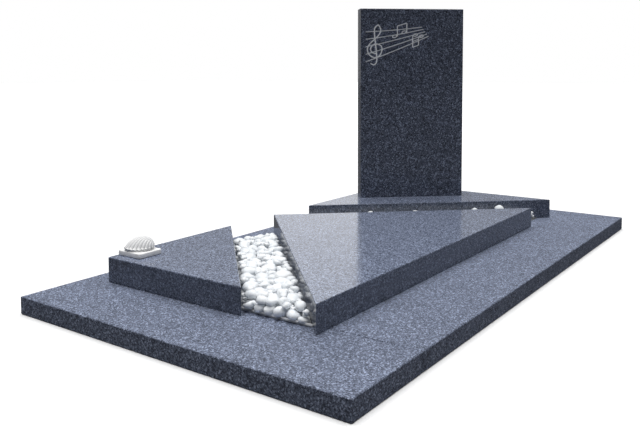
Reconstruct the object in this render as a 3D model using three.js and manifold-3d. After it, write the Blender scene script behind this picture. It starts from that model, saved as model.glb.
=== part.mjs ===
// Grave monument with an upright headstone, in millimetres, +Z up. The origin is at the middle of the
// base's underside, -Y is the foot end, +Y the head end and +X the right side seen from the foot.

import * as THREE from 'three';
import { mergeVertices } from 'three/addons/utils/BufferGeometryUtils.js';
import Module from 'manifold-3d';

// Base slab, cut across near the foot
const baseWidth = 1100;
const baseLength = 2100;
const baseThickness = 50;
const footSlabLength = 290;
const baseJoint = 3; // open joint between the two base slabs

// Tier of three triangular slabs on the base
const tierThickness = 76;
const tierLeftMargin = 90;
const tierRightMargin = 251;
const tierFootMargin = 230;
const tierHeadMargin = 178;
const plinthDepth = 692; // the plinth's left side, along Y
const footStrip = 168; // width of the pebble strip by the foot tablet, square to its sides
const headStrip = 167; // width of the pebble strip by the plinth

// Headstone, upright and parallel to the plinth's slanting front
const headstoneWidth = 450;
const headstoneHeight = 812;
const headstoneThickness = 76;
const headstoneSetback = 154; // from the plinth's front face to the headstone's

// Edges and clearances
const slabArris = 2;
const bedding = 0.3; // gap under whatever rests on something

// Engraving, measured on the front face from its left edge and its foot
const engravingDepth = 1.6;
const staffLineWidth = 4;
const clefLineWidth = 5.5;
const noteLineWidth = 4.5;
const staffLeft = 21;
const staffTop = 713; // height of the top line's left end
const staffSpread = 32; // line spacing at the left end
const staffLength = 245; // along the top line
const staffRise = 21; // how much the top line climbs
const staffStep = 7.5; // how much longer each lower line is
const staffTightSpread = 9.7; // line spacing at the right end
const staffSag = 3;
const clefFoot = 572;
const clefHeight = 172;
const clefLeft = 28;
const noteHeadLength = 24;
const noteHeadHeight = 15;
const noteTilt = 0.3; // radians
const beamSpacing = 25;
const quaverLeft = 147; // the middle of the first head of the pair with one beam
const quaverHeight = 694;
const quaverStep = 41; // from there to the second head
const quaverClimb = 18;
const quaverStem = 44; // the first note's stem
const quaverBeamClimb = 13;
const semiquaverLeft = 238; // the same for the pair with two beams, whose stems hang down
const semiquaverHeight = 700;
const semiquaverStep = 26;
const semiquaverDrop = 5;
const semiquaverStem = 53;
const semiquaverBeamClimb = 10;

// Pebble beds
const bedThickness = 8; // at a bed's ends
const moundThickness = 24; // a bed's raised middle, that the pebbles lie on
const moundInset = 45; // from a bed's ends to its raised middle, along the strip
const bedFrontMargin = 268; // from the base's foot edge to the foot bed's front
const bedEndInset = 45; // from the tier's left side to the beds' ends
const bedEndSkew = 65; // how much further in the foot bed ends beside the centre tablet
const bedRightInset = 40; // from the tier's right side to the head bed's end
const bedSideGap = 1; // between a bed and the slabs beside it
const pebbleLength = 48; // the largest pebbles
const pebbleWidth = 41;
const pebbleHeight = 34;
const pebbleSpread = 0.45; // how much smaller the smallest are, as a share
const pebbleCrowding = 0.86; // how near two middles may come, as a share of both half widths
const pebbleDrops = 2400; // tries at laying one in each bed

// Scallop shell on its plate, one casting
const plateWidth = 100;
const plateLength = 87;
const plateThickness = 15;
const plateCorner = 9; // radius
const plateArris = 2.5;
const shellLength = 90; // from the hinge to the rim
const shellWidth = 0.84; // of the fan, as a share of the length
const shellSpread = 78; // half the angle of the fan, in degrees
const shellHeight = 42;
const shellLean = 7; // how far the highest place is from the middle, towards the hinge
const shellRibs = 19;
const shellRibDepth = 1.9;
const shellRimHeight = 7.5;
const shellTurn = 30; // how far the hinge is turned from the head end towards the right, in degrees
const ornamentSideMargin = 1; // from the foot tablet's left side to the plate
const ornamentFootMargin = 33; // from the foot tablet's foot side to the plate

const wasm = await Module();
wasm.setup();

function stone(name, color, roughness) {
  return new THREE.MeshStandardMaterial({ name, color, roughness, metalness: 0 });
}

const baseGranite = stone('base_granite', 0x7c8498, 0.45);
const tierGranite = stone('tier_granite', 0x5b6373, 0.18);
const headstoneGranite = stone('headstone_granite', 0x343945, 0.15);
const marble = stone('pebbles', 0xe6e8ea, 0.6);
const castStone = stone('ornament', 0xcfcec8, 0.8);

const monument = new THREE.Group();

function addMesh(parent, name, geometry, material) {
  const mesh = new THREE.Mesh(geometry, material);
  mesh.name = name;
  parent.add(mesh);
  return mesh;
}

// A closed geometry as a solid for joining and cutting, and back again
function toSolid(geometry) {
  const bare = geometry.clone();
  bare.deleteAttribute('normal');
  bare.deleteAttribute('uv');
  const merged = mergeVertices(bare, 1e-4);
  return new wasm.Manifold(new wasm.Mesh({
    numProp: 3,
    vertProperties: new Float32Array(merged.attributes.position.array),
    triVerts: new Uint32Array(merged.index.array),
  }));
}

function toGeometry(solid) {
  const mesh = solid.getMesh();
  const geometry = new THREE.BufferGeometry();
  geometry.setAttribute('position', new THREE.BufferAttribute(mesh.vertProperties, 3));
  geometry.setIndex(new THREE.BufferAttribute(mesh.triVerts, 1));
  geometry.computeVertexNormals();
  return geometry;
}

const joined = (solids) => solids.reduce((whole, solid) => whole.add(solid));

// A flat slab on z = 0 with chamfered arrises; outline points run anticlockwise
function slabGeometry(outline, thickness, arris) {
  const geometry = new THREE.ExtrudeGeometry(new THREE.Shape(outline), {
    depth: thickness - 2 * arris,
    bevelThickness: arris,
    bevelSize: arris,
    bevelOffset: -arris,
    bevelSegments: 1,
  });
  return geometry.translate(0, 0, arris);
}

const point = (x, y) => new THREE.Vector2(x, y);

function rectangle(x0, y0, x1, y1) {
  return [point(x0, y0), point(x1, y0), point(x1, y1), point(x0, y1)];
}

// Plan of the tier
const tierLeft = -baseWidth / 2 + tierLeftMargin;
const tierRight = baseWidth / 2 - tierRightMargin;
const tierFoot = -baseLength / 2 + tierFootMargin;
const tierHead = baseLength / 2 - tierHeadMargin;
const tierWidth = tierRight - tierLeft;
const rearAngle = Math.atan2(plinthDepth, tierWidth); // of the plinth's front face to X
const plinthFrontY = tierHead - plinthDepth; // the plinth's left corner
const rearOffset = headStrip / Math.cos(rearAngle); // the head strip's width along Y
const centreLeftY = plinthFrontY - rearOffset;
const centreHeadY = tierHead - rearOffset;
const frontAngle = Math.atan2(centreLeftY - tierFoot, tierWidth); // of the centre tablet's left face to X
const footTabletDepth = centreLeftY - footStrip / Math.cos(frontAngle) - tierFoot;
const footTabletWidth = footTabletDepth / Math.tan(frontAngle);
const tierBottom = baseThickness + bedding;
const tierTop = tierBottom + tierThickness;

// Base
function addBase() {
  const footEnd = -baseLength / 2;
  const jointStart = footEnd + footSlabLength;
  const side = baseWidth / 2;
  const footOutline = rectangle(-side, footEnd, side, jointStart);
  const mainOutline = rectangle(-side, jointStart + baseJoint, side, baseLength / 2);
  addMesh(monument, 'base_foot_slab', slabGeometry(footOutline, baseThickness, slabArris), baseGranite);
  addMesh(monument, 'base_main_slab', slabGeometry(mainOutline, baseThickness, slabArris), baseGranite);
}

// Tier slabs
function addTier() {
  const outlines = {
    foot_tablet: [
      point(tierLeft, tierFoot),
      point(tierLeft + footTabletWidth, tierFoot),
      point(tierLeft, tierFoot + footTabletDepth),
    ],
    centre_tablet: [
      point(tierRight, tierFoot),
      point(tierRight, centreHeadY),
      point(tierLeft, centreLeftY),
    ],
    headstone_plinth: [
      point(tierLeft, plinthFrontY),
      point(tierRight, tierHead),
      point(tierLeft, tierHead),
    ],
  };
  for (const [name, outline] of Object.entries(outlines)) {
    const mesh = addMesh(monument, name, slabGeometry(outline, tierThickness, slabArris), tierGranite);
    mesh.position.z = tierBottom;
  }
}

// An outline as a cutter through the front face
function grooveCutter(shape) {
  const cutter = new THREE.ExtrudeGeometry(shape, { depth: 2 * engravingDepth, bevelEnabled: false });
  return toSolid(cutter.translate(0, 0, -engravingDepth));
}

// An engraved line of even width along a curve that doesn't cross itself
function lineCutter(curve, width, steps) {
  const sideOffset = (t) => {
    const tangent = curve.getTangent(t);
    return point(-tangent.y, tangent.x).multiplyScalar(width / 2);
  };
  const shares = Array.from({ length: steps + 1 }, (_, i) => i / steps);
  const left = shares.map((t) => curve.getPoint(t).add(sideOffset(t)));
  const right = shares.map((t) => curve.getPoint(t).sub(sideOffset(t)));
  return grooveCutter(new THREE.Shape([...right, ...left.reverse()]));
}

// Five staff lines that draw together to the right
function staffCutters() {
  return [0, 1, 2, 3, 4].map((line) => {
    const from = point(staffLeft, staffTop - line * staffSpread);
    const to = point(
      staffLeft + staffLength + line * staffStep,
      staffTop + staffRise - line * staffTightSpread,
    );
    const middle = from.clone().add(to).multiplyScalar(0.5);
    middle.y -= 2 * staffSag;
    return lineCutter(new THREE.QuadraticBezierCurve(from, middle, to), staffLineWidth, 4);
  });
}

// Treble clef, as shares of its height from its lowest left corner
function clefCutters() {
  const atShare = ([x, y]) => point(clefLeft + x * clefHeight, clefFoot + y * clefHeight);
  const spiral = [
    [0.25, 0.28], [0.13, 0.3], [0.08, 0.39], [0.13, 0.49], [0.24, 0.52], [0.35, 0.47], [0.37, 0.36],
    [0.31, 0.23], [0.18, 0.18], [0.05, 0.25], [0.0, 0.39], [0.06, 0.52], [0.2, 0.65], [0.31, 0.77],
    [0.34, 0.89], [0.27, 1.0],
  ];
  const stem = [
    [0.28, 1.0], [0.19, 0.92], [0.18, 0.78], [0.22, 0.4], [0.24, 0.1], [0.17, 0.0], [0.08, 0.04],
  ];
  return [
    lineCutter(new THREE.SplineCurve(spiral.map(atShare)), clefLineWidth, 30),
    lineCutter(new THREE.SplineCurve(stem.map(atShare)), clefLineWidth, 14),
  ];
}

// An open note head, its stem, and the beams that join the stems
function noteHeadCutter(place) {
  const rim = (inset) => new THREE.EllipseCurve(
    place.x,
    place.y,
    noteHeadLength / 2 - inset,
    noteHeadHeight / 2 - inset,
    0,
    2 * Math.PI,
    false,
    noteTilt,
  ).getPoints(10).slice(1);
  const head = new THREE.Shape(rim(0));
  head.holes.push(new THREE.Path(rim(noteLineWidth)));
  return grooveCutter(head);
}

function straightCutter(from, to) {
  return lineCutter(new THREE.LineCurve(from, to), noteLineWidth, 1);
}

// Two joined notes whose stems stand up, with side 1, or hang down, with side -1
function notePairCutters({ firstHead, headStep, stem, beamClimb, side, beams }) {
  const heads = [firstHead, firstHead.clone().add(headStep)];
  const firstEnd = firstHead.clone().add(point(side * noteHeadLength / 2, side * stem));
  const stemEnds = [firstEnd, firstEnd.clone().add(point(headStep.x, beamClimb))];
  const cutters = heads.map(noteHeadCutter);
  heads.forEach((head, i) => cutters.push(straightCutter(point(stemEnds[i].x, head.y), stemEnds[i])));
  for (let beam = 0; beam < beams; beam++) {
    const lift = point(0, beam * beamSpacing);
    cutters.push(straightCutter(stemEnds[0].clone().add(lift), stemEnds[1].clone().add(lift)));
  }
  return cutters;
}

// Headstone, drawn lying with its front up, then stood on the plinth
function addHeadstone() {
  const outline = rectangle(0, 0, headstoneWidth, headstoneHeight);
  const blank = slabGeometry(outline, headstoneThickness, slabArris).translate(0, 0, -headstoneThickness);
  const engraving = joined([
    ...staffCutters(),
    ...clefCutters(),
    ...notePairCutters({
      firstHead: point(quaverLeft, quaverHeight),
      headStep: point(quaverStep, quaverClimb),
      stem: quaverStem,
      beamClimb: quaverBeamClimb,
      side: 1,
      beams: 1,
    }),
    ...notePairCutters({
      firstHead: point(semiquaverLeft, semiquaverHeight),
      headStep: point(semiquaverStep, -semiquaverDrop),
      stem: semiquaverStem,
      beamClimb: semiquaverBeamClimb,
      side: -1,
      beams: 2,
    }),
  ]);
  const headstone = toGeometry(toSolid(blank).subtract(engraving));
  headstone.rotateX(Math.PI / 2);

  const plinthFront = new THREE.Group(); // along the plinth's front face, from its left corner
  plinthFront.position.set(tierLeft, plinthFrontY, tierTop + bedding);
  plinthFront.rotation.z = rearAngle;
  monument.add(plinthFront);
  const mesh = addMesh(plinthFront, 'headstone', headstone, headstoneGranite);
  const acrossFromCorner = plinthDepth * Math.sin(rearAngle); // straight ahead of the rear corner
  mesh.position.set(acrossFromCorner - headstoneWidth / 2, headstoneSetback, 0);
}

// Repeatable scatter between -1 and 1
function scatter(seed) {
  const value = Math.sin(seed * 12.9898 + 4.1) * 43758.5453;
  return 2 * (value - Math.floor(value)) - 1;
}

// Distance of a place from the nearest side of an anticlockwise outline, positive inside
function insideBy(place, outline) {
  return Math.min(...outline.map((from, i) => {
    const to = outline[(i + 1) % outline.length];
    const side = to.clone().sub(from).normalize();
    return side.cross(place.clone().sub(from));
  }));
}

// Pebbles of falling size, each laid where there is still room, as places in the bed's plan
function layPebbles(outline) {
  const box = new THREE.Box2().setFromPoints(outline);
  const pebbles = [];
  for (let drop = 0; drop < pebbleDrops; drop++) {
    const size = 1 - pebbleSpread * drop / pebbleDrops;
    const place = point(
      THREE.MathUtils.mapLinear(scatter(drop), -1, 1, box.min.x, box.max.x),
      THREE.MathUtils.mapLinear(scatter(drop + 0.5), -1, 1, box.min.y, box.max.y),
    );
    const roomTo = (other) => place.distanceTo(other.place) / (size + other.size);
    if (insideBy(place, outline) < size * pebbleLength / 2) continue;
    if (pebbles.some((other) => roomTo(other) < pebbleCrowding * pebbleWidth / 2)) continue;
    pebbles.push({ place, size });
  }
  return pebbles;
}

// The raised middle of a bed whose long sides are the first and the third of its outline
function moundOutline([a, b, c, d]) {
  const inward = (end, far) => end.clone().lerp(far, moundInset / end.distanceTo(far));
  return [inward(a, b), inward(b, a), inward(c, d), inward(d, c)];
}

function bedLayer(outline, thickness) {
  return new THREE.ExtrudeGeometry(new THREE.Shape(outline), { depth: thickness, bevelEnabled: false });
}

// A bed, raised in the middle, with its pebbles fused to it
function pebbleBed(outline) {
  const mound = moundOutline(outline);
  const pebbles = layPebbles(outline).map(({ place, size }, i) => {
    const lift = insideBy(place, mound) > 0 ? moundThickness - bedThickness : 0;
    const pebble = new THREE.IcosahedronGeometry(0.5, 0);
    pebble.rotateX(2 * scatter(i)).rotateY(2 * scatter(i + 0.2));
    pebble.scale(size * pebbleLength, size * pebbleWidth, size * pebbleHeight);
    pebble.rotateZ(Math.PI * scatter(i + 0.3));
    return pebble.translate(place.x, place.y, lift + size * pebbleHeight / 2);
  });
  const parts = [bedLayer(outline, bedThickness), bedLayer(mound, moundThickness), ...pebbles];
  return toGeometry(joined(parts.map(toSolid)));
}

function addPebbles() {
  const endX = tierLeft + bedEndInset;
  const frontY = -baseLength / 2 + bedFrontMargin;
  const footSlope = Math.tan(frontAngle);
  const footGapY = bedSideGap / Math.cos(frontAngle);
  const footFaceY = tierFoot + footTabletDepth + footGapY; // at the tier's left side
  const centreFaceY = centreLeftY - footGapY;
  const xOnFace = (faceY, y) => tierLeft + (faceY - y) / footSlope;
  const footBed = [
    point(xOnFace(centreFaceY, frontY), frontY),
    point(endX + bedEndSkew, centreFaceY - (bedEndInset + bedEndSkew) * footSlope),
    point(endX, footFaceY - bedEndInset * footSlope),
    point(xOnFace(footFaceY, frontY), frontY),
  ];

  const headSlope = Math.tan(rearAngle);
  const sideGapY = bedSideGap / Math.cos(rearAngle);
  const rightX = tierRight - bedRightInset;
  const centreRearY = (x) => centreLeftY + (x - tierLeft) * headSlope + sideGapY;
  const plinthFaceY = (x) => plinthFrontY + (x - tierLeft) * headSlope - sideGapY;
  const headBed = [
    point(endX, centreRearY(endX)),
    point(rightX, centreRearY(rightX)),
    point(rightX, plinthFaceY(rightX)),
    point(endX, plinthFaceY(endX)),
  ];

  const footMesh = addMesh(monument, 'foot_pebbles', pebbleBed(footBed), marble);
  const headMesh = addMesh(monument, 'head_pebbles', pebbleBed(headBed), marble);
  footMesh.position.z = tierBottom;
  headMesh.position.z = tierBottom;
}

// Scallop shell about the origin with its hinge turned aside: a domed fan of ribs
function shellGeometry() {
  const fan = THREE.MathUtils.degToRad(shellSpread);
  const hinge = 0.1; // the hinge's reach as a share of the length
  const shell = new THREE.BoxGeometry(1, 1, 1, 2 * shellRibs, 8, 1);
  const position = shell.attributes.position;
  const sunk = plateThickness / 2;
  for (let i = 0; i < position.count; i++) {
    const across = 2 * position.getX(i); // -1 to 1 over the fan
    const angle = fan * across;
    const outward = hinge + (1 - hinge) * (position.getY(i) + 0.5);
    const furrow = 2 * Math.abs(Math.cos(0.5 * Math.PI * shellRibs * (across + 1))) - 1;
    const rib = -shellRibDepth * outward * furrow;
    const reach = outward * (shellLength * Math.cos(angle) ** 0.85 + rib);
    const x = reach * Math.sin(angle);
    const y = shellLength / 2 - reach * Math.cos(angle);
    const fromHinge = 0.5 - y / shellLength; // 1 at the rim
    const fromMiddle = Math.hypot(x, y - shellLean * Math.sin(Math.PI * fromHinge)) / (shellLength / 2);
    const dome = Math.max(0, 1 - fromMiddle ** 2) ** (0.55 + 0.3 * fromHinge);
    const height = Math.max(shellRimHeight + rib + (shellHeight - shellRimHeight) * dome, 1);
    const z = position.getZ(i) > 0 ? height : -sunk;
    position.setXYZ(i, shellWidth * x, y, z);
  }
  shell.index.array.reverse(); // the fan is drawn mirrored
  return shell.rotateZ(-THREE.MathUtils.degToRad(shellTurn));
}

function roundedRectangle(width, length, radius) {
  const shape = new THREE.Shape();
  shape.absarc(width - radius, radius, radius, -Math.PI / 2, 0);
  shape.absarc(width - radius, length - radius, radius, 0, Math.PI / 2);
  shape.absarc(radius, length - radius, radius, Math.PI / 2, Math.PI);
  shape.absarc(radius, radius, radius, Math.PI, 1.5 * Math.PI);
  return shape.getPoints(4);
}

function addOrnament() {
  const outline = roundedRectangle(plateWidth, plateLength, plateCorner);
  const plate = slabGeometry(outline, plateThickness, plateArris);
  const shell = shellGeometry().translate(plateWidth / 2, plateLength / 2, plateThickness);
  const casting = toSolid(plate).add(toSolid(shell));
  const mesh = addMesh(monument, 'shell_ornament', toGeometry(casting), castStone);
  mesh.position.set(tierLeft + ornamentSideMargin, tierFoot + ornamentFootMargin, tierTop + bedding);
}

addBase();
addTier();
addHeadstone();
addPebbles();
addOrnament();

export default monument;
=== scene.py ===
import itertools
import math
import random

import bmesh
import bpy
from mathutils import Matrix, Vector, noise


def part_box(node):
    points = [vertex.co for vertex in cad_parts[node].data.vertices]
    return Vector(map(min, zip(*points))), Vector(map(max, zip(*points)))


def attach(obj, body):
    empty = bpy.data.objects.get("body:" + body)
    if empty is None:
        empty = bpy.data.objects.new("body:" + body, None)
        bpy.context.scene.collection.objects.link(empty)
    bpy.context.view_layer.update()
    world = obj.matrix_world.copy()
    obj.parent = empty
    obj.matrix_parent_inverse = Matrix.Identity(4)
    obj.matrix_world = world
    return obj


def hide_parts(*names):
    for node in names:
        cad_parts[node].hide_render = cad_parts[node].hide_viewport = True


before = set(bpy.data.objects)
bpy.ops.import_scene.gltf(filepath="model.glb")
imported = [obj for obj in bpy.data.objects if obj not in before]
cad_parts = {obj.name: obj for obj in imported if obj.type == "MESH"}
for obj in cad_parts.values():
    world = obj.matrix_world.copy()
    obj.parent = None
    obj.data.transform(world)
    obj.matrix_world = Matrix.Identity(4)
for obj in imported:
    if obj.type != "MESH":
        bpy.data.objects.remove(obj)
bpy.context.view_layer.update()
scene = bpy.context.scene
print("frame loaded:", len(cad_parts), "nodes")


# small helpers shared by the materials

def addNode(tree, kind, inputs=None, **settings):
    node = tree.nodes.new(kind)
    for name, value in settings.items():
        setattr(node, name, value)
    for name, value in (inputs or {}).items():
        socket = node.inputs[name]
        if isinstance(value, bpy.types.NodeSocket):
            tree.links.new(value, socket)
        else:
            socket.default_value = value
    return node


def mathNode(tree, operation, *values):
    return addNode(tree, "ShaderNodeMath", dict(enumerate(values)), operation=operation).outputs[0]


def vectorNode(tree, operation, *values):
    return addNode(tree, "ShaderNodeVectorMath", dict(enumerate(values)), operation=operation).outputs[0]


def scaledVector(tree, vector, factor):
    return addNode(tree, "ShaderNodeVectorMath", {0: vector, "Scale": factor}, operation="SCALE").outputs[0]


def dotOf(tree, vector, direction):
    node = addNode(tree, "ShaderNodeVectorMath", {0: vector, 1: direction}, operation="DOT_PRODUCT")
    return node.outputs["Value"]


def noiseOf(tree, place, scale, detail, distortion=0.0):
    inputs = {"Vector": place, "Scale": scale, "Detail": detail, "Distortion": distortion}
    return addNode(tree, "ShaderNodeTexNoise", inputs).outputs["Fac"]


def ranged(tree, value, start, end, low=0.0, high=1.0, **settings):  # low at the start, high at the end
    inputs = {"Value": value, "From Min": start, "From Max": end, "To Min": low, "To Max": high}
    return addNode(tree, "ShaderNodeMapRange", inputs, **settings).outputs[0]


def mixColour(tree, share, first, second):
    inputs = {0: share, 6: first, 7: second}
    return addNode(tree, "ShaderNodeMix", inputs, data_type="RGBA", clamp_factor=True).outputs[2]


def newGroup(name, inputs, outputs):
    group = bpy.data.node_groups.new(name, "ShaderNodeTree")
    for socketName, socketType, default in inputs:
        socket = group.interface.new_socket(socketName, in_out="INPUT", socket_type=socketType)
        socket.default_value = default
    for socketName, socketType in outputs:
        group.interface.new_socket(socketName, in_out="OUTPUT", socket_type=socketType)
    return group, group.nodes.new("NodeGroupInput").outputs, group.nodes.new("NodeGroupOutput").inputs


def newMaterial(name):
    material = bpy.data.materials.new(name)
    material.use_nodes = True
    tree = material.node_tree
    return material, tree, tree.nodes["Principled BSDF"]


# camera at the photograph's angle

cameraValues = {
    "place": (1.2942, -2.1931, 0.6802),
    "heading": 125.572,  # degrees from +X towards +Y
    "dip": 3.46,  # degrees below level
    "roll": -0.119,
    "lens": 41.12,
    "sensor": 36.0,
    "shiftUp": -0.1563,
    "farthest": 100.0,  # metres that it sees
}


def addCamera(values):
    data = bpy.data.cameras.new("camera")
    data.lens = values["lens"]
    data.sensor_width = values["sensor"]
    data.shift_y = values["shiftUp"]
    data.clip_end = values["farthest"]
    camera = bpy.data.objects.new("camera", data)
    scene.collection.objects.link(camera)
    heading, dip = math.radians(values["heading"]), math.radians(values["dip"])
    ahead = Vector((math.cos(heading) * math.cos(dip), math.sin(heading) * math.cos(dip), -math.sin(dip)))
    turn = ahead.to_track_quat("-Z", "Y").to_matrix().to_4x4()
    roll = Matrix.Rotation(math.radians(values["roll"]), 4, "Z")
    camera.matrix_world = Matrix.Translation(values["place"]) @ turn @ roll
    scene.camera = camera


addCamera(cameraValues)
print("camera placed")


# pale floor and soft daylight

stageValues = {
    "floorSize": 60.0,
    "floorDrop": 0.0005,  # below the work's underside
    "floorColour": (0.96, 0.96, 0.96, 1.0),
    "floorBounce": (0.10, 0.10, 0.104, 1.0),  # what the floor gives back to the stone
    "backdrop": (1.0, 1.0, 1.0, 1.0),
    "daylight": (1.0, 1.0, 1.0, 1.0),
    "zenithStrength": 3.9,
    "zenithFrom": 0.65,  # height in the sky, 0 to 1, where the zenith's light begins
    "backStrength": 0.24,  # low sky behind the work
    "viewerStrength": 0.05,  # low sky behind the viewer
    "viewerSide": (0.58, -0.81, 0.0),
    "viewerFade": (-0.85, -0.2),  # where the first gives way to the second, along the viewer's side
    "windowHeading": 123.5,  # degrees from +X: a tall bright opening behind the work
    "windowHalfWidth": 7.5,
    "windowFade": 0.25,  # softness of its sides, as a share of the half width
    "windowTop": 0.5,
    "windowTopFade": 0.6,  # where its top begins to fade, as a share of the top
    "windowStrength": 1.0,
}


def addFloor(values):
    mesh = bpy.data.meshes.new("floor")
    shape = bmesh.new()
    bmesh.ops.create_grid(shape, x_segments=1, y_segments=1, size=values["floorSize"] / 2)
    shape.to_mesh(mesh)
    shape.free()
    floor = bpy.data.objects.new("floor", mesh)
    scene.collection.objects.link(floor)
    floor.location.z = -values["floorDrop"]
    material = bpy.data.materials.new("paleFloor")
    material.use_nodes = True
    tree = material.node_tree
    tree.nodes.clear()
    path = addNode(tree, "ShaderNodeLightPath")
    colour = mixColour(tree, path.outputs["Is Camera Ray"], values["floorBounce"], values["floorColour"])
    matt = addNode(tree, "ShaderNodeBsdfDiffuse", {"Color": colour})
    addNode(tree, "ShaderNodeOutputMaterial", {"Surface": matt.outputs[0]})
    mesh.materials.append(material)


def smoothRange(tree, value, start, end):
    return ranged(tree, value, start, end, interpolation_type="SMOOTHSTEP")


def skyStrength(tree, direction, height, values):  # the zenith over the low sky's two halves
    climb = smoothRange(tree, height, values["zenithFrom"], 1.0)
    viewerShare = smoothRange(tree, dotOf(tree, direction, values["viewerSide"]), *values["viewerFade"])
    step = values["viewerStrength"] - values["backStrength"]
    low = mathNode(tree, "MULTIPLY_ADD", viewerShare, step, values["backStrength"])
    zenith = mathNode(tree, "MULTIPLY", climb, values["zenithStrength"])
    lowShare = mathNode(tree, "SUBTRACT", 1.0, climb)
    return mathNode(tree, "ADD", zenith, mathNode(tree, "MULTIPLY", lowShare, low))


def windowShine(tree, direction, height, values):
    level = vectorNode(tree, "NORMALIZE", vectorNode(tree, "MULTIPLY", direction, (1, 1, 0)))
    heading = math.radians(values["windowHeading"])
    facing = dotOf(tree, level, (math.cos(heading), math.sin(heading), 0))
    halfWidth, fade = math.radians(values["windowHalfWidth"]), values["windowFade"]
    across = smoothRange(tree, facing, math.cos((1 + fade) * halfWidth), math.cos((1 - fade) * halfWidth))
    below = smoothRange(tree, height, values["windowTop"], values["windowTopFade"] * values["windowTop"])
    return mathNode(tree, "MULTIPLY", mathNode(tree, "MULTIPLY", across, below), values["windowStrength"])


def addDaylight(values):
    world = bpy.data.worlds.new("daylight")
    world.use_nodes = True
    scene.world = world
    tree = world.node_tree
    tree.nodes.clear()
    direction = addNode(tree, "ShaderNodeTexCoord").outputs["Generated"]
    height = addNode(tree, "ShaderNodeSeparateXYZ", {"Vector": direction}).outputs["Z"]
    strength = mathNode(tree, "MAXIMUM", skyStrength(tree, direction, height, values),
                        windowShine(tree, direction, height, values))
    light = addNode(tree, "ShaderNodeBackground", {"Color": values["daylight"], "Strength": strength})
    plain = addNode(tree, "ShaderNodeBackground", {"Color": values["backdrop"], "Strength": 1.0})
    path = addNode(tree, "ShaderNodeLightPath")
    shown = addNode(tree, "ShaderNodeMixShader",
                    {0: path.outputs["Is Camera Ray"], 1: light.outputs[0], 2: plain.outputs[0]})
    addNode(tree, "ShaderNodeOutputWorld", {"Surface": shown.outputs[0]})


addFloor(stageValues)
addDaylight(stageValues)
scene.view_settings.view_transform = "Standard"
print("floor and daylight set")


# granite: interlocking dark, mid and pale grains, with painted shade that darkens the sides

grainValues = {
    "fineness": 2.3,  # how much smaller the fine grains are than the coarse ones
    "midRange": (0.2, 0.75),  # of a grain's draw from 0 to 1: dark below, mid above
    "faintest": 0.3,  # strength of the faintest pale grain
    "fleckShare": 0.6,  # fine pale flecks, as a share of the pale grains
    "fleckStrength": 0.7,
    "spotFrom": 0.88,  # fine dark spots, where the draw is above this
    "spotStrength": 0.6,
    "wobbleDetail": 1.0,  # of the noise that bends the grains' outlines
    "clouds": (9.0, 3.0),  # scale and detail
    "cloudRange": (0.3, 0.7),
    "cloudDepth": 0.06,
    "upwardRange": (0.1, 0.9),  # of the normal's height: a side below, a top above, for the painted side shade
    "roughSpread": 0.08,
    "waves": (5.0, 1.0),  # scale and detail
}


def grainDraws(tree, place, scale):  # three numbers from 0 to 1 for each grain
    cells = addNode(tree, "ShaderNodeTexVoronoi", {"Vector": place, "Scale": scale})
    return addNode(tree, "ShaderNodeSeparateColor", {"Color": cells.outputs["Color"]}).outputs


def makeGrainAndShadeGroup(values):
    group, given, put = newGroup(
        "graniteGrainAndSideShade",
        [("Grain", "NodeSocketFloat", 0.004), ("Dark", "NodeSocketColor", (0.1, 0.1, 0.15, 1)),
         ("Mid", "NodeSocketColor", (0.2, 0.2, 0.3, 1)), ("Pale", "NodeSocketColor", (0.4, 0.4, 0.5, 1)),
         ("Pale Share", "NodeSocketFloat", 0.2), ("Painted Side Shade", "NodeSocketFloat", 1.0),
         ("Polish", "NodeSocketFloat", 0.2)],
        [("Color", "NodeSocketColor"), ("Roughness", "NodeSocketFloat"), ("Height", "NodeSocketFloat")])
    surface = addNode(group, "ShaderNodeTexCoord").outputs
    place = surface["Object"]
    perMetre = mathNode(group, "DIVIDE", 1.0, given["Grain"])
    wobble = addNode(group, "ShaderNodeTexNoise",
                     {"Vector": place, "Scale": perMetre, "Detail": values["wobbleDetail"]})
    centred = vectorNode(group, "SUBTRACT", wobble.outputs["Color"], (0.5, 0.5, 0.5))
    bent = vectorNode(group, "ADD", place, scaledVector(group, centred, given["Grain"]))
    coarse = grainDraws(group, bent, perMetre)
    fine = grainDraws(group, bent, mathNode(group, "MULTIPLY", perMetre, values["fineness"]))
    isMid = ranged(group, coarse[0], *values["midRange"])
    isPale = mathNode(group, "LESS_THAN", coarse[1], given["Pale Share"])
    paleness = mathNode(group, "MULTIPLY_ADD", coarse[2], 1 - values["faintest"], values["faintest"])
    fleckShare = mathNode(group, "MULTIPLY", given["Pale Share"], values["fleckShare"])
    isFleck = mathNode(group, "LESS_THAN", fine[0], fleckShare)
    isSpot = mathNode(group, "GREATER_THAN", fine[1], values["spotFrom"])
    colour = mixColour(group, isMid, given["Dark"], given["Mid"])
    for mask, strength, grain in ((isPale, paleness, "Pale"), (isFleck, values["fleckStrength"], "Pale"),
                                  (isSpot, values["spotStrength"], "Dark")):
        colour = mixColour(group, mathNode(group, "MULTIPLY", mask, strength), colour, given[grain])
    mottle = ranged(group, noiseOf(group, place, *values["clouds"]), *values["cloudRange"],
                    1 - values["cloudDepth"], 1 + values["cloudDepth"])
    # painted shade: faces are darkened the more they turn from up to sideways, standing in for less light
    # on the sides
    upward = addNode(group, "ShaderNodeSeparateXYZ", {"Vector": surface["Normal"]}).outputs["Z"]
    darkened = ranged(group, upward, *values["upwardRange"], given["Painted Side Shade"])
    shade = mathNode(group, "MULTIPLY", mottle, darkened)
    rough = mathNode(group, "MULTIPLY_ADD", fine[2], values["roughSpread"], given["Polish"])
    group.links.new(scaledVector(group, colour, shade), put["Color"])
    group.links.new(rough, put["Roughness"])
    group.links.new(noiseOf(group, place, *values["waves"]), put["Height"])
    return group


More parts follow.
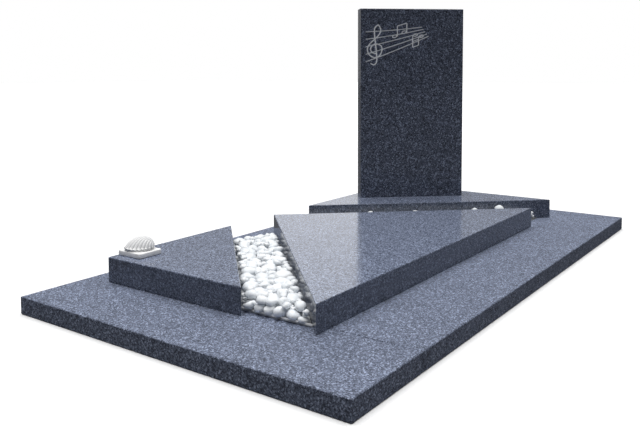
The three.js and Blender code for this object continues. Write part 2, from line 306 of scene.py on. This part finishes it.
graniteValues = {
    "dark": (0.055, 0.064, 0.092),
    "mid": (0.153, 0.180, 0.255),
    "pale": (0.40, 0.46, 0.62),
    "paleShare": 0.17,
    "waviness": 0.0006,
    "waveStrength": 0.5,
    "ior": 1.52,
}
blockValues = {
    "base": {
        "grain": 0.0034,
        "contrast": 0.0,  # how far dark and pale grains are driven apart
        "shade": 1.0,
        "paintedSideShade": 1.0,  # painted shade: its sides' colour as a share of its top's
        "polish": 0.55,  # roughness
        "specular": 0.25,
    },
    "tier": {
        "grain": 0.0034,
        "contrast": 0.0,
        "shade": 1.16,
        "paintedSideShade": 0.57,
        "polish": 0.1,
        "specular": 0.5,
    },
    "headstone": {
        "grain": 0.0041,
        "contrast": 0.2,
        "shade": 0.67,
        "paintedSideShade": 0.95,
        "polish": 0.1,
        "specular": 0.5,
    },
}
grainAndShadeGroup = makeGrainAndShadeGroup(grainValues)


def graniteMaterial(name, block):
    values = graniteValues
    material, tree, shader = newMaterial(name)
    grain = addNode(tree, "ShaderNodeGroup", node_tree=grainAndShadeGroup)
    for socket, step in (("Dark", -1), ("Mid", 0), ("Pale", 1)):
        shade = block["shade"] * (1 + step * block["contrast"])
        grain.inputs[socket].default_value = (*(shade * part for part in values[socket.lower()]), 1.0)
    for socket, value in (("Grain", block["grain"]), ("Pale Share", values["paleShare"]),
                          ("Painted Side Shade", block["paintedSideShade"]), ("Polish", block["polish"])):
        grain.inputs[socket].default_value = value
    bump = addNode(tree, "ShaderNodeBump", {"Height": grain.outputs["Height"],
                                            "Strength": values["waveStrength"],
                                            "Distance": values["waviness"]})
    tree.links.new(grain.outputs["Color"], shader.inputs["Base Color"])
    tree.links.new(grain.outputs["Roughness"], shader.inputs["Roughness"])
    tree.links.new(bump.outputs[0], shader.inputs["Normal"])
    shader.inputs["IOR"].default_value = values["ior"]
    shader.inputs["Specular IOR Level"].default_value = block["specular"]
    return material, tree, shader, grain


slabBlocks = {
    "base_foot_slab": "base",
    "base_main_slab": "base",
    "foot_tablet": "tier",
    "centre_tablet": "tier",
    "headstone_plinth": "tier",
}
for nodeName, blockName in slabBlocks.items():
    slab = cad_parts[nodeName]
    slab.data.materials.clear()
    slab.data.materials.append(graniteMaterial(nodeName + "_granite", blockValues[blockName])[0])
print("slabs finished")


# headstone: the engraved lines are left grey and unpolished

engravingValues = {
    "colour": (0.92, 0.93, 0.95, 1),
    "roughness": 0.75,
    "skin": 0.0004,  # depth below the polished face where the grey starts
    "depth": 0.004,  # and where it ends
    "fromSide": 0.01,  # the engraved field keeps this far from the stone's edges
}


def finishHeadstone(values):
    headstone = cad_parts["headstone"]
    low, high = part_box("headstone_plinth")
    slant = math.atan2(high.y - low.y, high.x - low.x)
    outward = Vector((math.sin(slant), -math.cos(slant), 0))
    along = Vector((math.cos(slant), math.sin(slant), 0))
    front = max(outward.dot(vertex.co) for vertex in headstone.data.vertices)
    left = min(along.dot(vertex.co) for vertex in headstone.data.vertices)
    right = max(along.dot(vertex.co) for vertex in headstone.data.vertices)
    bottom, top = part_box("headstone")
    material, tree, shader, grain = graniteMaterial("headstone_granite", blockValues["headstone"])
    place = addNode(tree, "ShaderNodeTexCoord").outputs["Object"]
    inward = dotOf(tree, place, outward)
    across = dotOf(tree, place, along)
    height = addNode(tree, "ShaderNodeSeparateXYZ", {"Vector": place}).outputs["Z"]
    cut = mathNode(tree, "LESS_THAN", inward, front - values["skin"])
    for value, limit, operation in ((inward, front - values["depth"], "GREATER_THAN"),
                                    (across, left + values["fromSide"], "GREATER_THAN"),
                                    (across, right - values["fromSide"], "LESS_THAN"),
                                    (height, bottom.z + values["fromSide"], "GREATER_THAN"),
                                    (height, top.z - values["fromSide"], "LESS_THAN")):
        cut = mathNode(tree, "MULTIPLY", cut, mathNode(tree, operation, value, limit))
    colour = mixColour(tree, cut, grain.outputs["Color"], values["colour"])
    rough = addNode(tree, "ShaderNodeMix",
                    {0: cut, 2: grain.outputs["Roughness"], 3: values["roughness"]}).outputs[0]
    tree.links.new(colour, shader.inputs["Base Color"])
    tree.links.new(rough, shader.inputs["Roughness"])
    headstone.data.materials.clear()
    headstone.data.materials.append(material)


finishHeadstone(engravingValues)
print("headstone finished")


# white marble pebbles, dropped one by one into the two strips

pebbleValues = {
    # radius, how many are dropped, and how many places each tries for the lowest
    "grades": ((0.0238, 170, 20), (0.0195, 220, 26), (0.0145, 160, 30), (0.0095, 80, 30), (0.0064, 45, 60)),
    "endRows": (0.0190, 0.0110, 0.0070),  # radii of the pebbles that line a strip's ends, laid first
    "rowPitch": 1.9,  # from one of them to the next, as a share of the radius
    "rowSearch": 0.3,  # how far on the next is tried where one has no room
    "perch": 0.35,  # how far above the grit an end pebble may rest, as a share of its radius
    "radiusSpread": 0.13,
    "crownFrom": 0.010,  # radius that a crown pebble grows from until it reaches high enough
    "crownStep": 0.0005,
    "cell": 2.6,  # of the grid that finds neighbours, as a share of the largest radius
    "longer": 1.16,  # length, width and height as shares of the radius
    "narrower": 0.92,
    "flatter": 0.70,
    "tilt": 0.25,  # radians either way
    "squeeze": 0.90,  # how tightly two pebbles nest
    "roundness": 2,  # subdivisions of the ball that each starts from
    "flats": 9,  # worn flat places on each
    "flatReach": (0.62, 0.86),  # how far out they lie, as a share of the radius
    "wear": 0.9,  # how much of what stands past a flat is worn away
    "swell": 1.1,  # makes up for the wear
    "bumpiness": 0.12,
    "bumpScale": 1.3,
    "noiseSpan": 50.0,  # each pebble has its own place in the noise, within this
    "gritDepth": 0.003,
    "gritRise": 0.009,  # how much higher the grit lies in the middle of a strip
    "riseInset": 0.045,  # from the strip's ends to the raised middle
    "wall": 0.0006,  # gap kept to the slabs at the sides
    "barHeight": 0.008,  # edging bar along a strip's front
    "barWidth": 0.005,
}
strips = {
    "foot_pebbles": {
        "seed": 3,
        "top": 0.050,  # how high the pile may stand above the bottom of the bed
        "endReach": 0.3,  # how near its ends a pebble's middle may lie, as a share of the radius
        "edged": True,
        "crown": (),
    },
    "head_pebbles": {
        "seed": 11,
        "top": 0.040,
        "endReach": 1.2,
        "edged": False,
        "crown": ((0.251, 0.050), (0.442, 0.0485), (0.691, 0.0505), (0.796, 0.062)),
    },
}  # crown: pebbles laid last beside the plinth, as distance from its left corner and how high they reach


def inOrder(places):  # anticlockwise about their middle
    middle = sum((Vector(place) for place in places), Vector((0, 0))) / len(places)
    return sorted((Vector(place) for place in places), key=lambda place: math.atan2(*(place - middle).yx))


def areaOf(corners):
    return sum(start.cross(end) for start, end in zip(corners, corners[1:] + corners[:1])) / 2


def stripCorners(node):  # the four corners under the bed to a hundredth of a millimetre, a long side first
    foot = min(vertex.co.z for vertex in node.data.vertices)
    plan = sorted({(round(vertex.co.x, 5), round(vertex.co.y, 5)) for vertex in node.data.vertices
                   if vertex.co.z < foot + 1e-5})
    corners = max((inOrder(four) for four in itertools.combinations(plan, 4)), key=areaOf)
    if (corners[1] - corners[0]).length < (corners[2] - corners[1]).length:
        corners = corners[1:] + corners[:1]
    return corners, foot


def raisedCorners(corners, inset):
    def inward(end, far):
        return end.lerp(far, inset / (far - end).length)
    first, second, third, fourth = corners
    return [inward(first, second), inward(second, first), inward(third, fourth), inward(fourth, third)]


def insideLine(place, start, end):
    side = (end - start).normalized()
    return side.cross(place - start)


def insideBy(place, corners):
    return min(insideLine(place, start, end) for start, end in zip(corners, corners[1:] + corners[:1]))


def layPebbles(corners, foot, strip, values, draw):
    lows = [min(corner[axis] for corner in corners) for axis in (0, 1)]
    highs = [max(corner[axis] for corner in corners) for axis in (0, 1)]
    cell = values["cell"] * values["grades"][0][0]
    middle = raisedCorners(corners, values["riseInset"])
    slope = -insideBy(corners[0], middle)
    sides, ends = (corners[:2], corners[2:]), (corners[1:3], corners[3:] + corners[:1])
    grid = {}
    laid = []

    def hasRoom(place, radius):
        toSide = min(insideLine(place, *side) for side in sides)
        toEnd = min(insideLine(place, *end) for end in ends)
        return toSide > values["longer"] * radius + values["wall"] and toEnd > strip["endReach"] * radius

    def heightOnGrit(place, radius):
        rise = min(1.0, max(0.0, 1 + insideBy(place, middle) / slope))
        return foot + values["gritDepth"] + rise * values["gritRise"] + values["flatter"] * radius

    def cellOf(place):
        return int(place.x // cell), int(place.y // cell)

    def restingHeight(place, radius):
        height = heightOnGrit(place, radius)
        column, row = cellOf(place)
        for near in itertools.product((column - 1, column, column + 1), (row - 1, row, row + 1)):
            for other, otherRadius, otherHeight in grid.get(near, ()):
                apart = values["squeeze"] * (radius + otherRadius)
                flat = (place - other).length
                if flat < apart:
                    lift = values["flatter"] * math.sqrt(apart * apart - flat * flat)
                    height = max(height, otherHeight + lift)
        return height

    def settle(place, radius, height):
        grid.setdefault(cellOf(place), []).append((place, radius, height))
        laid.append((place, radius, height))

    def varied(radius):
        return radius * (1 + values["radiusSpread"] * draw.uniform(-1, 1))

    # rows along both ends, each smaller one filling what the last left bare
    for (start, end), middleRadius in itertools.product(ends, values["endRows"]):
        along = (end - start).normalized()
        reach = 0.0
        while reach < (end - start).length:
            radius = varied(middleRadius)
            inward = strip["endReach"] * radius + values["wall"]
            place = start + (reach + radius) * along + inward * Vector((-along.y, along.x))
            height = restingHeight(place, radius)
            if hasRoom(place, radius) and height - heightOnGrit(place, radius) < values["perch"] * radius:
                settle(place, radius, height)
                reach += values["rowPitch"] * radius
            else:
                reach += values["rowSearch"] * radius

    # the rest, from the largest down, each at the lowest place it finds
    for middleRadius, count, tries in values["grades"]:
        for _ in range(count):
            radius = varied(middleRadius)
            best = None
            for _ in range(tries):
                place = Vector((draw.uniform(lows[0], highs[0]), draw.uniform(lows[1], highs[1])))
                if not hasRoom(place, radius):
                    continue
                height = restingHeight(place, radius)
                if best is None or height < best[1]:
                    best = (place, height)
            if best and best[1] + values["flatter"] * radius < foot + strip["top"]:
                settle(best[0], radius, best[1])

    # the crown beside the plinth
    low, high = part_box("headstone_plinth")
    along = Vector((high.x - low.x, high.y - low.y)).normalized()
    for fromCorner, top in strip["crown"]:
        radius = values["crownFrom"]
        reached = 0.0
        while reached < foot + top:
            inward = values["longer"] * radius + values["wall"]
            place = Vector((low.x, low.y)) + fromCorner * along + inward * Vector((along.y, -along.x))
            height = restingHeight(place, radius)
            reached = height + values["flatter"] * radius
            radius += values["crownStep"]
        settle(place, radius, height)
    return laid


def randomDirection(draw):
    level, heading = draw.uniform(-1, 1), draw.uniform(0, 2 * math.pi)
    out = math.sqrt(1 - level * level)
    return Vector((out * math.cos(heading), out * math.sin(heading), level))


def pebbleShape(shape, tone, place, radius, height, values, draw):
    spin, tilt = draw.uniform(0, math.pi), draw.uniform(-values["tilt"], values["tilt"])
    turn = Matrix.Rotation(spin, 4, "Z") @ Matrix.Rotation(tilt, 4, "X")
    size = Matrix.Diagonal((*(values[key] * radius for key in ("longer", "narrower", "flatter")), 1))
    made = bmesh.ops.create_icosphere(shape, subdivisions=values["roundness"], radius=1.0)["verts"]
    own = Vector([draw.uniform(0, values["noiseSpan"]) for _ in range(3)])
    flats = [(randomDirection(draw), draw.uniform(*values["flatReach"])) for _ in range(values["flats"])]
    brightness = draw.uniform(0, 1)
    for vertex in made:
        for outward, reach in flats:
            vertex.co -= values["wear"] * max(0.0, vertex.co.dot(outward) - reach) * outward
        bump = values["bumpiness"] * noise.noise(vertex.co * values["bumpScale"] + own)
        vertex.co *= values["swell"] + bump
        vertex[tone] = brightness
    settled = Matrix.Translation((place.x, place.y, height)) @ turn @ size
    bmesh.ops.transform(shape, verts=made, matrix=settled)


def blockShape(shape, tone, corners, tops, foot, height, shade):
    made = [shape.verts.new((corner.x, corner.y, foot)) for corner in corners]
    face = shape.faces.new(made)
    grown = bmesh.ops.extrude_face_region(shape, geom=[face])["geom"]
    lifted = [part for part in grown if isinstance(part, bmesh.types.BMVert)]
    for vertex in lifted:
        nearest = min(range(len(corners)), key=lambda index: (corners[index] - vertex.co.xy).length)
        vertex.co = (*tops[nearest], foot + height)
    for vertex in made + lifted:
        vertex[tone] = shade


def edgingShape(shape, tone, corners, foot, values):  # along the strip's front end
    start, end = sorted(corners, key=lambda corner: corner.y)[:2]
    inward = Vector((0, values["barWidth"]))
    bar = [start, end, end + inward, start + inward]
    if end.x < start.x:
        bar.reverse()
    blockShape(shape, tone, bar, bar, foot, values["barHeight"], marbleValues["brightTone"])


marbleValues = {
    "dull": (0.825, 0.86, 0.895, 1),  # pebbles lie between this and the bright colour
    "bright": (0.895, 0.92, 0.945, 1),
    "brightTone": 1.0,
    "vein": (0.62, 0.65, 0.70, 1),
    "veins": (35.0, 5.0, 1.5),  # scale, detail and distortion
    "veinRange": (0.56, 0.66),
    "veinStrength": 0.3,
    "clouds": (60.0, 4.0),
    "cloudRange": (0.3, 0.7),
    "cloudShade": (0.94, 1.02),
    "grit": (0.60, 0.62, 0.65, 1),
    "gritTone": -1.0,  # marks the grit under the pebbles
    "roughness": 0.38,
    "roughSpread": 0.25,
    "pits": (220.0, 4.0),
    "pitDepth": 0.0012,
    "pitStrength": 0.4,
    "translucence": 0.6,
    "lightReach": 0.012,  # how deep light goes into the stone
    "reachOfColours": (1.0, 1.0, 1.0),  # share of it for red, green and blue
}


def pebbleMaterial(values):
    material, tree, shader = newMaterial("whiteMarble")
    tone = addNode(tree, "ShaderNodeAttribute", attribute_name="tone").outputs["Fac"]
    place = addNode(tree, "ShaderNodeTexCoord").outputs["Object"]
    cloud = noiseOf(tree, place, *values["clouds"])
    vein = noiseOf(tree, place, *values["veins"])
    veinMask = mathNode(tree, "MULTIPLY", ranged(tree, vein, *values["veinRange"]), values["veinStrength"])
    clean = mixColour(tree, tone, values["dull"], values["bright"])
    veined = mixColour(tree, veinMask, clean, values["vein"])
    shade = ranged(tree, cloud, *values["cloudRange"], *values["cloudShade"])
    isGrit = mathNode(tree, "LESS_THAN", tone, values["gritTone"] / 2)
    colour = mixColour(tree, isGrit, scaledVector(tree, veined, shade), values["grit"])
    pits = noiseOf(tree, place, *values["pits"])
    bump = addNode(tree, "ShaderNodeBump", {"Height": pits, "Strength": values["pitStrength"],
                                            "Distance": values["pitDepth"]})
    rough = mathNode(tree, "MULTIPLY_ADD", cloud, values["roughSpread"], values["roughness"])
    tree.links.new(colour, shader.inputs["Base Color"])
    tree.links.new(rough, shader.inputs["Roughness"])
    tree.links.new(bump.outputs[0], shader.inputs["Normal"])
    shader.inputs["Subsurface Weight"].default_value = values["translucence"]
    shader.inputs["Subsurface Radius"].default_value = values["reachOfColours"]
    shader.inputs["Subsurface Scale"].default_value = values["lightReach"]
    return material


def finishPiece(name, shape, material, node):
    bmesh.ops.recalc_face_normals(shape, faces=shape.faces)
    for face in shape.faces:
        face.smooth = True
    mesh = bpy.data.meshes.new(name)
    shape.to_mesh(mesh)
    shape.free()
    mesh.materials.append(material)
    piece = bpy.data.objects.new(name, mesh)
    scene.collection.objects.link(piece)
    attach(piece, "root")
    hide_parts(node)


def addStrip(nodeName, strip, values, material):
    draw = random.Random(strip["seed"])
    corners, foot = stripCorners(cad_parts[nodeName])
    shape = bmesh.new()
    tone = shape.verts.layers.float.new("tone")
    laid = layPebbles(corners, foot, strip, values, draw)
    for place, radius, height in laid:
        pebbleShape(shape, tone, place, radius, height, values, draw)
    blockShape(shape, tone, corners, raisedCorners(corners, values["riseInset"]), foot,
               values["gritDepth"] + values["gritRise"], marbleValues["gritTone"])
    if strip["edged"]:
        edgingShape(shape, tone, corners, foot, values)
    finishPiece(nodeName + "_marble", shape, material, nodeName)
    print(nodeName, len(laid), "pebbles laid")


whiteMarble = pebbleMaterial(marbleValues)
for nodeName, strip in strips.items():
    addStrip(nodeName, strip, pebbleValues, whiteMarble)


# scallop shell on its plate, cast in white stone

ornamentValues = {
    "plateWidth": 0.100,
    "plateLength": 0.087,
    "plateThickness": 0.015,
    "plateCorner": 0.009,
    "plateCornerFaces": 5,
    "plateArris": 0.0025,
    "plateArrisFaces": 3,
    "plateSharp": 1.0,  # radians: edges that turn more than this get the arris
    "shellLength": 0.090,
    "shellWidth": 0.84,  # of the fan, as a share of the length
    "turn": 30.0,  # how far the hinge is turned from the head end towards the right, in degrees
    "fan": 78.0,  # half the angle of the fan, in degrees
    "fanPower": 0.85,  # how fast the fan's sides draw in
    "hinge": 0.1,  # the hinge's reach as a share of the length
    "ribs": 19,
    "ribDepth": 0.0019,
    "furrowGrowth": 3,  # how fast the painted shade in the furrows sets in from the hinge
    "height": 0.042,  # of the dome above the plate
    "domePower": 0.55,  # how full the dome is at the hinge
    "domeSlope": 0.3,  # and how much less full it gets towards the rim
    "rimHeight": 0.0075,
    "rimThickness": 0.0025,
    "peak": 0.42,  # where the dome is highest, as a share of the way from the hinge to the rim
    "across": 120,  # faces over the fan, and from the hinge to the rim
    "outward": 28,
    "undercut": 0.94,  # the rim's foot, drawn in under it
    "sunk": 0.001,  # how far the foot is let into the plate, and the shell's least height over it
}


def plateShape(shape, middle, values):
    width, length, thickness = values["plateWidth"], values["plateLength"], values["plateThickness"]
    made = bmesh.ops.create_cube(shape, size=1.0)["verts"]
    bmesh.ops.scale(shape, verts=made, vec=(width, length, thickness))
    bmesh.ops.translate(shape, verts=made, vec=middle)
    upright = [edge for edge in shape.edges
               if abs(edge.verts[0].co.z - edge.verts[1].co.z) > thickness / 2]
    bmesh.ops.bevel(shape, geom=upright, offset=values["plateCorner"], segments=values["plateCornerFaces"],
                    profile=0.5, affect="EDGES", material=-1)
    level = [edge for edge in shape.edges
             if (edge.verts[0].co.z - middle.z) * (edge.verts[1].co.z - middle.z) > 0
             and len(edge.link_faces) == 2 and edge.calc_face_angle() > values["plateSharp"]]
    bmesh.ops.bevel(shape, geom=level, offset=values["plateArris"], segments=values["plateArrisFaces"],
                    profile=0.5, affect="EDGES", material=-1)


def shellShape(shape, paintedShadeMark, centre, top, values):  # the top is the plate's
    made = bmesh.ops.create_grid(shape, x_segments=values["across"], y_segments=values["outward"],
                                 size=0.5)["verts"]
    turn = Matrix.Rotation(-math.radians(values["turn"]), 4, "Z")
    length, fan = values["shellLength"], math.radians(values["fan"])
    lean = values["peak"] - 0.5
    for vertex in made:
        across, outward = 2 * vertex.co.x, vertex.co.y + 0.5
        angle = fan * across
        reachShare = values["hinge"] + (1 - values["hinge"]) * outward
        # 1 in the middle of a furrow, 0 on a rib's crest
        furrow = 1 - abs(math.cos(0.5 * math.pi * values["ribs"] * (across + 1)))
        rib = values["ribDepth"] * (1 - 2 * furrow) * reachShare
        reach = reachShare * (length * math.cos(angle) ** values["fanPower"] + rib)
        x, y = reach * math.sin(angle), length / 2 - reach * math.cos(angle)
        fromHinge = 0.5 - y / length  # 0 at the hinge, 1 at the rim
        toPeak = y / length + lean * math.sin(math.pi * fromHinge)
        fromMiddle = math.hypot(x, toPeak * length) / (length / 2)
        fullness = values["domePower"] + values["domeSlope"] * fromHinge
        dome = max(0.0, 1 - fromMiddle ** 2) ** fullness
        height = values["rimHeight"] + rib + (values["height"] - values["rimHeight"]) * dome
        raised = top + max(height, values["sunk"])
        vertex.co = centre + turn @ Vector((values["shellWidth"] * x, y, raised))
        # painted shade: darker in the furrows between the ribs, growing from the hinge
        vertex[paintedShadeMark] = furrow * min(1.0, values["furrowGrowth"] * outward)
    rim = [edge for edge in shape.edges if edge.is_boundary]
    # the rim's edge, its underside and its foot: how far drawn in, how far down, and how much painted shade
    # each gets, the most under the rim
    for share, drop, paintedShade in ((1.0, values["rimThickness"], 0.5), (values["undercut"], 0.0, 1.0),
                               (1.0, math.inf, 0.2)):
        grown = bmesh.ops.extrude_edge_only(shape, edges=rim)["geom"]
        rim = [part for part in grown if isinstance(part, bmesh.types.BMEdge)]
        for vertex in [part for part in grown if isinstance(part, bmesh.types.BMVert)]:
            drawn = centre + (vertex.co - centre) * share
            vertex.co = (drawn.x, drawn.y, max(vertex.co.z - drop, top - values["sunk"]))
            vertex[paintedShadeMark] = paintedShade
    bmesh.ops.contextual_create(shape, geom=rim)


castStoneValues = {
    "colour": (0.95, 0.95, 0.95, 1),
    "darkened": (0.80, 0.80, 0.81, 1),
    "weathering": (45.0, 5.0),  # scale and detail
    "weatherRange": (0.4, 0.75),
    "weatherStrength": 0.5,
    "paintedShade": (0.34, 0.35, 0.36, 1),  # painted shade in the furrows and under the rim
    "paintedShadeRange": (0.4, 0.95),
    "paintedShadeStrength": 0.8,
    "roughness": 0.75,
    "pits": (500.0, 3.0),
    "pitDepth": 0.0008,
    "pitStrength": 0.5,
}


def castStoneMaterial(values):
    material, tree, shader = newMaterial("castStone")
    paintedShadeMark = addNode(tree, "ShaderNodeAttribute", attribute_name="paintedShadeMark").outputs["Fac"]
    place = addNode(tree, "ShaderNodeTexCoord").outputs["Object"]
    cloud = noiseOf(tree, place, *values["weathering"])
    weather = ranged(tree, cloud, *values["weatherRange"])
    weather = mathNode(tree, "MULTIPLY", weather, values["weatherStrength"])
    # painted shade in the furrows and under the rim, mixed over the stone's colour
    paintedShade = ranged(tree, paintedShadeMark, *values["paintedShadeRange"])
    paintedShade = mathNode(tree, "MULTIPLY", paintedShade, values["paintedShadeStrength"])
    colour = mixColour(tree, weather, values["colour"], values["darkened"])
    colour = mixColour(tree, paintedShade, colour, values["paintedShade"])
    pits = noiseOf(tree, place, *values["pits"])
    bump = addNode(tree, "ShaderNodeBump", {"Height": pits, "Strength": values["pitStrength"],
                                            "Distance": values["pitDepth"]})
    tree.links.new(colour, shader.inputs["Base Color"])
    tree.links.new(bump.outputs[0], shader.inputs["Normal"])
    shader.inputs["Roughness"].default_value = values["roughness"]
    return material


def addOrnament(values):
    low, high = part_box("shell_ornament")
    x, y = (low.x + high.x) / 2, (low.y + high.y) / 2
    thickness = values["plateThickness"]
    shape = bmesh.new()
    paintedShadeMark = shape.verts.layers.float.new("paintedShadeMark")
    plateShape(shape, Vector((x, y, low.z + thickness / 2)), values)
    shellShape(shape, paintedShadeMark, Vector((x, y, 0)), low.z + thickness, values)
    castStone = castStoneMaterial(castStoneValues)
    finishPiece("shell_ornament_cast", shape, castStone, "shell_ornament")


addOrnament(ornamentValues)
print("ornament made")
